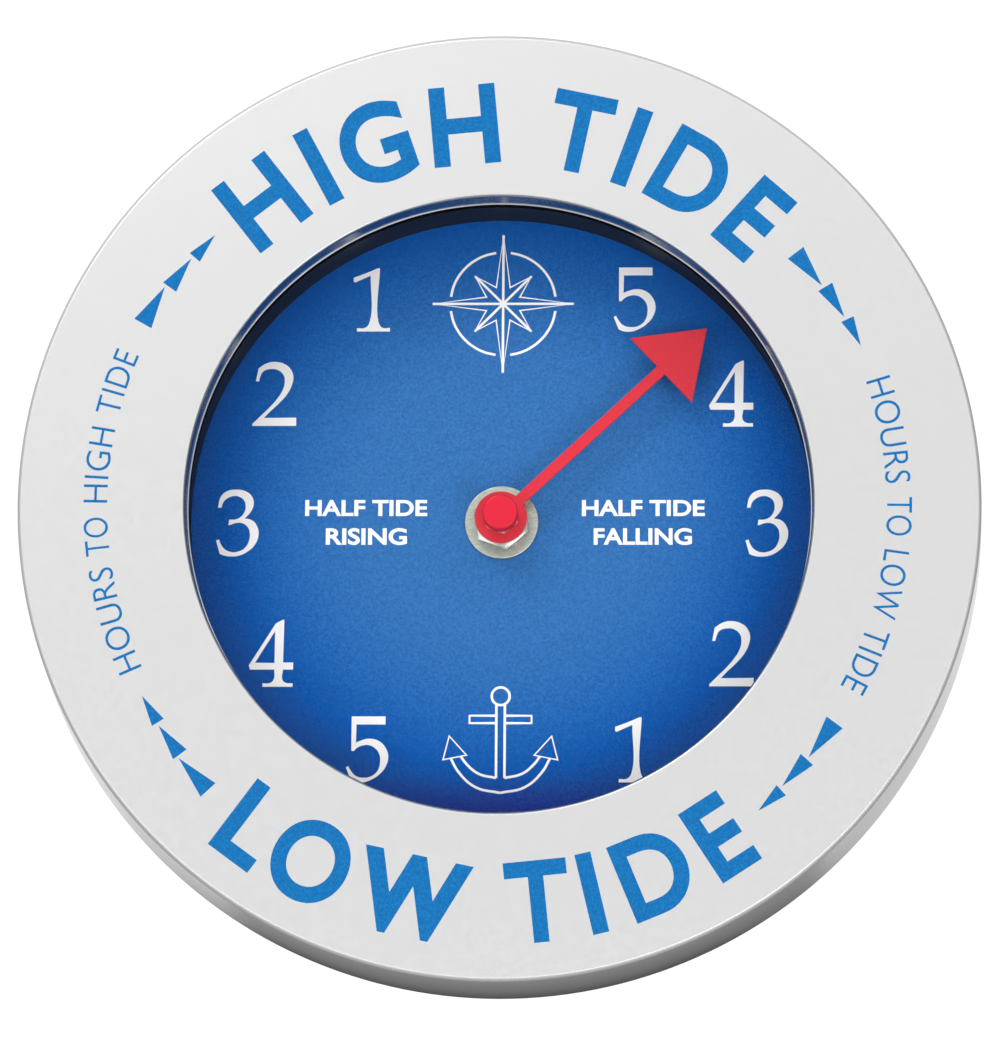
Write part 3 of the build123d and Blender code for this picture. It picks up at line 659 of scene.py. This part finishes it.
# A thin black ring on the back of the glass, just inside the lip: a painted shadow of the gap under the
# lip.
gap_shadow_overlap = 0.05 * mm
gap_shadow_setback = 0.5 * mm
gap_shadow_inner = opening_radius - lip_ledge + gap_shadow_overlap
gap_shadow_outer = lens_radius - gap_shadow_setback
piece("painted_gap_shadow", turned([
    (gap_shadow_inner, lens_back + ink, 0), (gap_shadow_outer, lens_back + ink, 0),
    (gap_shadow_outer, lens_back + 2 * ink, 0), (gap_shadow_inner, lens_back + 2 * ink, 0),
]), gap_shadow_black, "case", None)
piece("glass_seal", disc_shape("lens_gasket", 0.15 * mm), rubber, "case", "black_rubber", "lens_gasket")
piece("dial_wall", spacer_shape(), spacer_black, "case", "black_spacer", "spacer_ring")
sheet = piece("dial_sheet", disc_shape("dial", 0.1 * mm), dial_blue, "case", "blue_dial", "dial")
sheet.data.materials.append(dial_metal)
rear_facing = 0.5
for face in sheet.data.polygons:
    face.material_index = 1 if face.normal.y > rear_facing else 0
piece(
    "bush_washer", disc_shape("dial_washer", 0.18 * mm), washer_steel, "case", "plated_steel",
    "dial_washer",
)


# Centre: bush, nuts, pointer and cap

def bush_shape():
    """The threaded nose, its thread drawn as close turned grooves."""
    low, high = heights("threaded_bush")
    inner, flange = radii("threaded_bush")
    outer = bush_radius
    pitch = 0.75 * mm
    depth = 0.35 * mm
    thread_back = heights("dial_washer")[0]
    edge = []
    count = int((high - thread_back) / pitch)
    for step in range(count):
        foot = thread_back + pitch * step
        edge.append((outer, foot + 0.1 * pitch, 0))
        edge.append((outer - depth, foot + 0.5 * pitch, 0))
        edge.append((outer, foot + 0.9 * pitch, 0))
    return turned(
        [
            (inner, low, 0), (flange, low, 0.1 * mm), (flange, low + flange_thickness, 0.1 * mm),
            (outer, low + flange_thickness, 0),
        ] + edge
        + [(outer, high, 0.25 * mm), (inner, high, 0.1 * mm)],
        96,
    )


bush_radius = 3.95 * mm
flange_thickness = 1.0 * mm
nut_turn = math.radians(-10)
nut_low, nut_high = heights("dial_nut")
nut_flats = 11.1 * mm
flank_facing = 0.2
small_low, small_high = heights("pointer_nut")
small_flats = 6.7 * mm
arbor_outer = radii("pointer_nut")[0]

piece("bush_thread", bush_shape(), brass, "case", "brass", "threaded_bush")
large_nut = piece(
    "bush_nut", hex_nut(nut_low, nut_high, nut_flats, bush_radius, nut_turn, 0.25 * mm),
    nut_steel, "case", "plated_steel", "dial_nut",
)
# Painted shade: the large nut's flanks take the dark copy of its steel.
large_nut.data.materials.append(nut_flank_shade)
for face in large_nut.data.polygons:
    face.material_index = 1 if abs(face.normal.y) < flank_facing else 0
piece(
    "hand_nut", hex_nut(small_low, small_high, small_flats, arbor_outer, nut_turn, 0.2 * mm),
    pale_lit_steel, "tide_pointer", "plated_steel", "pointer_nut",
)

pointer_low, pointer_high = heights("pointer")
pointer_length = radii("pointer")[1]
pointer_angle = 46.8
hub_radius = 5.6 * mm
shaft_half = 1.2 * mm
head_length = 13.5 * mm
head_half = 9.7 * mm


def pointer_shape():
    start = math.asin(shaft_half / hub_radius)
    count = 96
    sweep = math.tau - 2 * start
    hub = []
    for step in range(count + 1):
        angle = start + sweep * step / count
        hub.append((hub_radius * math.sin(angle), hub_radius * math.cos(angle)))
    base = pointer_length - head_length
    outline = hub + [
        (-shaft_half, base), (-head_half, base), (0, pointer_length),
        (head_half, base), (shaft_half, base),
    ]
    flat = sheet_shape(outline, pointer_low, pointer_high, 0.12 * mm)
    return moved(flat, Matrix.Rotation(math.radians(pointer_angle), 4, "Y"))


cap_low, cap_high = heights("pointer_cap")
cap_radius = radii("pointer_cap")[1]
piece("hand_sheet", pointer_shape(), pointer_red, "tide_pointer", "red_pointer", "pointer")
piece("hand_cap", turned([
    (0, cap_low, 0), (cap_radius, cap_low, 0.3 * mm),
    (cap_radius, cap_high, 0.55 * mm), (0, cap_high, 0),
], 128), cap_red, "tide_pointer", "red_cap", "pointer_cap")


# Rear pieces and the movement, from the frame's own nodes

copied = [
    ("back_cover", back_black, "case", "black_back", 0),
    ("back_screws", steel, "case", "plated_steel", 0.15),
    ("hanger_plate", steel, "case", "plated_steel", 0.12),
    ("hanger_rivets", steel, "case", "plated_steel", 0.15),
    ("rubber_washer", rubber, "case", "black_rubber", 0.1),
    ("movement_case", movement_black, "case", "black_movement", 0.2),
    ("movement_cover", movement_black, "case", "black_movement", 0.2),
    ("train_plate", wheel_white, "case", "wheel_plastic", 0.1),
    ("stator", iron, "case", "motor_iron", 0.05),
    ("coil_core", iron, "case", "motor_iron", 0.05),
    ("coil_bobbin", wheel_white, "case", "wheel_plastic", 0.08),
    ("coil_winding", copper, "case", "copper_wire", 0.05),
    ("circuit_board", board_green, "case", "green_board", 0.05),
    ("driver_chip", movement_black, "case", "black_movement", 0.1),
    ("quartz_crystal", steel, "case", "plated_steel", 0.15),
    ("positive_contact", steel, "case", "plated_steel", 0.05),
    ("negative_contact", steel, "case", "plated_steel", 0.05),
    ("dry_cell", cell_grey, "case", "cell_jacket", 0.3),
    ("tide_arbor", brass, "tide_pointer", "brass", 0.08),
    ("tide_wheel", wheel_white, "tide_pointer", "wheel_plastic", 0),
    ("motion_wheel", wheel_white, "setting", "wheel_plastic", 0),
    ("setting_knob", movement_black, "setting", "black_movement", 0.12),
    ("cannon_pinion", wheel_white, "cannon", "wheel_plastic", 0),
    ("clutch_spring", brass, "cannon", "brass", 0),
    ("centre_wheel", wheel_white, "centre", "wheel_plastic", 0),
    ("third_wheel", wheel_white, "third", "wheel_plastic", 0),
    ("fourth_wheel", wheel_white, "fourth", "wheel_plastic", 0),
    ("fifth_wheel", wheel_white, "fifth", "wheel_plastic", 0),
    ("rotor", wheel_white, "motor", "wheel_plastic", 0),
    ("rotor_magnet", iron, "motor", "motor_iron", 0.05),
]
for node_name, coat, body, slot, edge in copied:
    shape = node_shape(node_name, edge * mm)
    if node_name == "clutch_spring":
        shape = moved(shape, Matrix.Translation((0, -ink, 0)))
    shading = 60 if edge else 32
    piece(node_name + "_shown", shape, coat, body, slot, node_name, sharp=shading)

cell_points = [point.co for point in bpy.data.objects["dry_cell_shown"].data.vertices]
cell_low = Vector([min(point[axis] for point in cell_points) for axis in range(3)])
cell_high = Vector([max(point[axis] for point in cell_points) for axis in range(3)])
cell_middle = (cell_low + cell_high) / 2
cell_reach = (cell_high.z - cell_low.z) / 2 + ink
band_from, band_to = 0.16, 0.42
band_start = (cell_high.x - cell_low.x) * band_from
band_end = (cell_high.x - cell_low.x) * band_to
piece("cell_band", moved(
    turned([
        (cell_reach - 2 * ink, band_start, 0), (cell_reach, band_start, 0),
        (cell_reach, band_end, 0), (cell_reach - 2 * ink, band_end, 0),
    ]),
    Matrix.Translation(cell_middle) @ Matrix.Rotation(math.pi / 2, 4, "Z"),
), cell_dark, "case", None)


# Print on the ring

def ring_letter(letter, angle, wide, tall, weight, foot, inward):
    """One letter on the ring, its foot at this radius, its top outward or inward."""
    shape = word(letter, weight)
    across = wide / width(shape)
    centre = Matrix.Translation((-wide / 2, -foot if inward else foot, 0))
    turn = turn_clockwise(angle + 180 if inward else angle)
    return moved(shape, Matrix.Diagonal((across, tall, 1, 1)), centre, turn)


def ring_word(text, start, end, foot, tall, weight, spacing):
    """A small word bent round the ring with its tops outward, each letter kept rigid."""
    shape = word(text, weight, spacing)
    mid = foot + tall / 2
    across = math.radians(end - start) * mid / width(shape)
    moved(shape, Matrix.Diagonal((across, tall, 1, 1)))
    for group in islands(shape):
        spots = [point.co.x for point in group]
        middle = (min(spots) + max(spots)) / 2
        turn = turn_clockwise(start + math.degrees(middle / mid))
        bmesh.ops.transform(shape, matrix=Matrix.Translation((-middle, foot, 0)), verts=group)
        bmesh.ops.transform(shape, matrix=turn, verts=group)
    return shape


def ring_triangle(start, end, radius, base):
    """A triangle on the ring that points clockwise."""
    half = math.radians(end - start) / 2 * radius
    tip = 1.3 * half
    shape = outlined((1, 1), [(-half, -base / 2, 1), (-half, base / 2, 1), (tip, 0, 1)])
    return moved(shape, Matrix.Translation((0, radius, 0)), turn_clockwise((start + end) / 2))


bold = 0.028
wide_bold = 0.045
thin = -0.008
small_spacing = 1.05
upper_tall = 17.5 * mm
lower_tall = 17.2 * mm
upper_letters = [
    ("H", -37.95, 14.2, 73.6), ("I", -28.12, 3.5, 73.6), ("G", -19.0, 15.1, 73.4),
    ("H", -5.4, 14.2, 73.3), ("T", 11.87, 13.3, 73.0), ("I", 19.95, 3.5, 73.0),
    ("D", 29.9, 14.7, 72.9), ("E", 41.43, 9.5, 72.7),
]
lower_letters = [
    ("L", 216.4, 10.3, 94.3), ("O", 206.8, 16.4, 94.3), ("W", 191.9, 23.0, 94.1),
    ("T", 174.1, 13.1, 93.8), ("I", 166.5, 3.4, 94.0), ("D", 157.35, 14.5, 93.9),
    ("E", 146.8, 9.7, 93.6),
]
small_words = [
    ("HOURS", -115.3, -99.8, 82.5, 5.0), ("TO", -97.9, -92.4, 82.5, 5.0),
    ("HIGH", -90.2, -79.3, 82.5, 5.0), ("TIDE", -77.2, -67.7, 82.5, 5.0),
    ("HOURS", 71.7, 87.3, 81.5, 5.2), ("TO", 89.4, 95.0, 81.7, 5.2),
    ("LOW", 97.2, 107.1, 81.7, 5.2), ("TIDE", 109.0, 118.6, 81.7, 5.2),
]
triangles = [
    (84.75, -63.07, -57.66, 4.2), (83.95, -56.54, -51.95, 3.5), (83.6, -50.84, -46.98, 2.9),
    (82.4, 49.42, 54.9, 4.2), (82.9, 56.12, 60.79, 3.5), (83.3, 61.91, 65.77, 2.9),
    (84.65, 123.74, 129.14, 4.2), (84.75, 130.32, 134.81, 3.5), (85.3, 135.98, 139.78, 2.9),
    (86.0, -135.59, -130.28, 4.2), (85.4, -129.17, -124.73, 3.5), (85.2, -123.62, -119.77, 2.9),
]

ring_marks = [
    ring_letter(letter, angle, wide * mm, upper_tall, bold, foot * mm, False)
    for letter, angle, wide, foot in upper_letters
]
ring_marks += [
    ring_letter(
        letter, angle, wide * mm, lower_tall, wide_bold if letter == "W" else bold, foot * mm, True,
    )
    for letter, angle, wide, foot in lower_letters
]
ring_marks += [
    ring_word(text, start, end, foot * mm, tall * mm, thin, small_spacing)
    for text, start, end, foot, tall in small_words
]
ring_marks += [
    ring_triangle(start, end, radius * mm, base * mm) for radius, start, end, base in triangles
]
piece("ring_print", printed(joined(*ring_marks), ring_front), ring_blue, "case", None)


# Print on the dial: numerals, legends and drawings

numeral_one = [
    (3.7, 0, 1), (37, 0, 1), (37, 3.7, 1), (29, 4, 0), (25.3, 10, 0), (26.3, 64, 1), (24, 64, 1),
    (16, 60.5, 0), (0, 54.5, 1), (0, 50.5, 1), (1.5, 49.7, 1), (17, 56.5, 1), (16.5, 10, 0),
    (12.5, 4, 0), (3.7, 3.3, 1),
]
numeral_two = [
    (0, 0, 1), (44, 0, 1), (44, 8.3, 1), (11.5, 8, 1), (17, 13.7, 0), (27, 23.2, 0),
    (35, 32.5, 0), (39.5, 42, 0), (40.6, 49, 0), (38.5, 56, 0), (33.5, 61.2, 0), (22, 64.5, 0),
    (13, 62.7, 0), (5.5, 58, 1), (3, 45, 1), (6, 44.8, 1), (7.5, 50, 0), (10, 54.5, 0),
    (18, 57.3, 0), (26, 55.7, 0), (31, 50.5, 0), (32, 44.5, 0), (30, 36, 0), (24, 26.5, 0),
    (17, 18.5, 0), (7, 8.8, 0), (0, 2, 1),
]
numeral_three = [
    (1.5, 48.8, 1), (4.5, 60, 0), (10.5, 65.2, 0), (20, 66.8, 0), (28, 65.5, 0), (35, 60.5, 0),
    (37.3, 53.5, 0), (35, 45.5, 0), (28.5, 37.9, 1), (35, 36.5, 0), (40.5, 31, 0),
    (42.6, 22.5, 0), (39.5, 12.5, 0), (32, 5, 0), (23, 0.8, 0), (16, 0, 0), (9, 0.7, 0),
    (4, 2.5, 1), (0, 16, 1), (3, 17, 1), (5, 12, 0), (8.5, 7.5, 0), (15, 4.5, 0), (22, 4.8, 0),
    (29, 8.5, 0), (33, 15.5, 0), (33.8, 23, 0), (31.5, 29.5, 0), (26, 33.2, 0),
    (20.5, 33.5, 0), (13.5, 31.3, 1), (12.2, 31.5, 1), (13, 36.7, 1), (20, 37.2, 0),
    (24.5, 39.5, 0), (28, 44, 0), (29.2, 50.5, 0), (27.5, 56, 0), (23, 59.5, 0), (17, 60.3, 0),
    (10.5, 57.8, 0), (7, 54.5, 0), (5, 48.7, 1),
]
numeral_four = [
    (15, 0, 1), (45, 0, 1), (45, 3.5, 1), (38, 4, 0), (34.8, 7, 0), (35.3, 17, 1),
    (45.3, 17, 1), (45.3, 24, 1), (35.2, 24, 1), (36, 66.3, 1), (34.3, 66.3, 1),
    (27.6, 62.8, 1), (1, 21, 1), (2.5, 17, 1), (26.5, 17, 1), (26.3, 8, 0), (23, 4, 0),
    (15, 3.3, 1),
]
four_hole = [(7.3, 23.8, 1), (26.7, 23.5, 1), (26.9, 55, 1)]
numeral_five = [
    (5.3, 65, 1), (39, 65, 1), (39, 57, 1), (10.2, 57, 1), (9.8, 39.2, 1), (16, 41.7, 0),
    (23, 43, 0), (32, 41, 0), (39, 34.5, 0), (42, 25.5, 0), (40, 16.5, 0), (34.5, 9, 0),
    (26, 3, 0), (16.5, 0, 0), (9, 0.7, 0), (5, 2.5, 1), (0, 14.7, 1), (2.2, 16.2, 1),
    (5, 11.5, 0), (9.5, 6.7, 0), (17, 4.7, 0), (25, 6, 0), (31.5, 11.5, 0), (34, 21, 0),
    (33, 28, 0), (29, 33.5, 0), (22.5, 36.7, 0), (16, 36.2, 0), (11, 34, 0), (7.5, 30.7, 1),
    (5.3, 31.2, 1),
]
numerals = {
    1: [numeral_one], 2: [numeral_two], 3: [numeral_three],
    4: [numeral_four, four_hole], 5: [numeral_five],
}
numeral_circle = 56.7 * mm
numeral_tall = 14.0
numeral_grid = 64
numeral_squeeze = 0.98
numeral_unit = (
    numeral_tall / numeral_grid * numeral_squeeze * mm, numeral_tall / numeral_grid * mm,
)
numeral_places = [
    (5, 30), (4, 60), (3, 90), (2, 120), (1, 150), (1, -30), (2, -60), (3, -90), (4, -120), (5, -150),
]


def dial_numeral(number, angle):
    shape = outlined(numeral_unit, *numerals[number])
    low = [min(point.co[k] for point in shape.verts) for k in range(2)]
    high = [max(point.co[k] for point in shape.verts) for k in range(2)]
    middle = Vector((low[0] + high[0], low[1] + high[1], 0)) / 2
    turn = math.radians(angle)
    place = Vector((math.sin(turn), math.cos(turn), 0)) * numeral_circle
    return moved(shape, Matrix.Translation(place - middle))


def legend(text, across, up, wide, tall):
    """A small straight word about a centre."""
    shape = word(text, bold)
    sizes = Matrix.Diagonal((wide / width(shape), tall, 1, 1))
    return moved(shape, sizes, Matrix.Translation((across - wide / 2, up - tall / 2, 0)))


line_width = 0.53


def strokes(lines):
    """Line drawing from lists of points in millimetres, each with smooth and closed set or not."""
    made = [stroke(points, line_width, smooth, closed) for points, smooth, closed in lines]
    return moved(joined(*made), Matrix.Diagonal((mm, mm, 1, 1)))


def circle(across, up, radius):
    spots = [math.tau * step / 8 for step in range(8)]
    return [(across + radius * math.cos(a), up + radius * math.sin(a)) for a in spots], True, True


def mirrored(lines):
    """Lines and their mirror images about the upright middle line."""
    return lines + [([(-x, y) for x, y in points], smooth, closed) for points, smooth, closed in lines]


def compass_star(up, long_point, short_point, waist, ring):
    """A star of four long and four short points, each split by a line, in a broken ring."""
    def spot(radius, degrees):
        turn = math.radians(degrees)
        return radius * math.sin(turn), up + radius * math.cos(turn)

    points = []
    lines = []
    for eighth in range(8):
        reach = short_point if eighth % 2 else long_point
        points.append(spot(reach, 45 * eighth))
        points.append(spot(waist, 45 * eighth + 22.5))
        lines.append(([(0, up), spot(reach, 45 * eighth)], False, False))
    lines.append((points, False, True))
    for quarter in range(4):
        arc = [spot(ring, 90 * quarter + 8 + 74 * step / 6) for step in range(7)]
        lines.append((arc, True, False))
    return lines


star = compass_star(48.2, 15.2, 8.6, 3.9, 11.4)
anchor = [circle(0, -37.6, 1.9)] + mirrored([
    ([(0.9, -39.4), (0.9, -55.2)], False, False),
    ([(0.9, -41.8), (6.6, -41.8), (6.6, -43.4), (0.9, -43.4)], False, False),
    ([(0, -58.4), (5.2, -57.2), (8.9, -53.9), (10.6, -50.9)], True, False),
    ([(0.9, -55.2), (4.6, -54.3), (7.2, -52.2), (8.4, -50.6)], True, False),
    ([(7.2, -50.3), (12.2, -51.3), (10.9, -46.2)], False, True),
])

dial_marks = [dial_numeral(number, angle) for number, angle in numeral_places]
dial_marks += [
    legend("HALF TIDE", -29.1 * mm, 3.28 * mm, 26.2 * mm, 3.5 * mm),
    legend("RISING", -29.0 * mm, -2.95 * mm, 17.4 * mm, 3.6 * mm),
    legend("HALF TIDE", 30.3 * mm, 3.28 * mm, 26.3 * mm, 3.5 * mm),
    legend("FALLING", 30.2 * mm, -2.93 * mm, 21.0 * mm, 3.6 * mm),
    strokes(star),
    strokes(anchor),
]
piece("dial_print", printed(joined(*dial_marks), dial_front), dial_white, "case", None)


# Camera, floor and light

def aimed(thing, target, roll=0.0):
    """Turns a camera or lamp so that it looks at the target."""
    line = Vector(target) - thing.location
    turn = line.to_track_quat("-Z", "Y").to_matrix().to_4x4()
    thing.rotation_euler = (turn @ Matrix.Rotation(math.radians(roll), 4, "Z")).to_euler()


camera_data = bpy.data.cameras.new("front view")
camera_data.lens = 214.3
camera_data.sensor_width = 36
camera_data.shift_x = 0.0016
camera_data.shift_y = -0.0172
camera_data.clip_end = 50
camera = bpy.data.objects.new("front view", camera_data)
camera.location = (0.0413, -1.3178, -0.2571)
aimed(camera, (0, -ring_front, 0), 0.37)
bpy.context.scene.collection.objects.link(camera)
bpy.context.scene.camera = camera

floor_half = 22.0
floor_drop = 1.4
floor_shape = bmesh.new()
bmesh.ops.create_grid(floor_shape, x_segments=1, y_segments=1, size=floor_half)
floor_mesh = bpy.data.meshes.new("floor")
moved(floor_shape, Matrix.Translation((0, 0, -floor_drop))).to_mesh(floor_mesh)
floor_shape.free()
floor_mesh.materials.append(finish("pale floor", (0.52, 0.52, 0.52), 0.0, 0.7, 0.2))
floor = bpy.data.objects.new("floor", floor_mesh)
bpy.context.scene.collection.objects.link(floor)


def lamp(name, place, target, wide, tall, power):
    data = bpy.data.lights.new(name, "AREA")
    data.shape = "RECTANGLE"
    data.size = wide
    data.size_y = tall
    data.energy = power
    thing = bpy.data.objects.new(name, data)
    thing.location = place
    aimed(thing, target)
    bpy.context.scene.collection.objects.link(thing)


lamp("key", (-0.5, -1.1, 0.95), (0, 0, 0), 0.7, 0.5, 6.5)
lamp("right key", (0.6, -1.1, 0.75), (0, 0, 0), 0.9, 0.6, 1.6)
lamp("left fill", (-1.05, -2.0, -0.75), (0, 0, 0), 1.4, 1.0, 12.0)
lamp("right fill", (0.9, -2.0, -0.85), (0, 0, 0), 1.4, 1.0, 17.5)

world = bpy.data.worlds.new("studio")
bpy.context.scene.world = world
world.use_nodes = True
sky = world.node_tree.nodes["Background"]
coordinates = world.node_tree.nodes.new("ShaderNodeTexCoord")
parts = world.node_tree.nodes.new("ShaderNodeSeparateXYZ")
link = world.node_tree.links.new
link(coordinates.outputs["Generated"], parts.inputs["Vector"])


def sky_ramp(axis, *stops):
    """Brightness of the surround along one axis, from -1 to 1."""
    share = world.node_tree.nodes.new("ShaderNodeMapRange")
    share.inputs["From Min"].default_value = -1
    link(parts.outputs[axis], share.inputs["Value"])
    ramp = world.node_tree.nodes.new("ShaderNodeValToRGB")
    while len(ramp.color_ramp.elements) < len(stops):
        ramp.color_ramp.elements.new(0.5)
    for element, (place, grey) in zip(ramp.color_ramp.elements, stops):
        element.position = (place + 1) / 2
        element.color = (grey, grey, grey, 1)
    link(share.outputs["Result"], ramp.inputs["Fac"])
    return ramp.outputs["Color"]


surround = world.node_tree.nodes.new("ShaderNodeVectorMath")
surround.operation = "MULTIPLY"
link(sky_ramp("X", (-0.94, 0.25), (-0.86, 1.0), (0.66, 1.0), (0.84, 0.25)), surround.inputs[0])
link(sky_ramp("Y", (-0.6, 0.85), (0.1, 1.05)), surround.inputs[1])
link(surround.outputs["Vector"], sky.inputs["Color"])
sky.inputs["Strength"].default_value = 1.0

bpy.context.scene.view_settings.view_transform = "Standard"
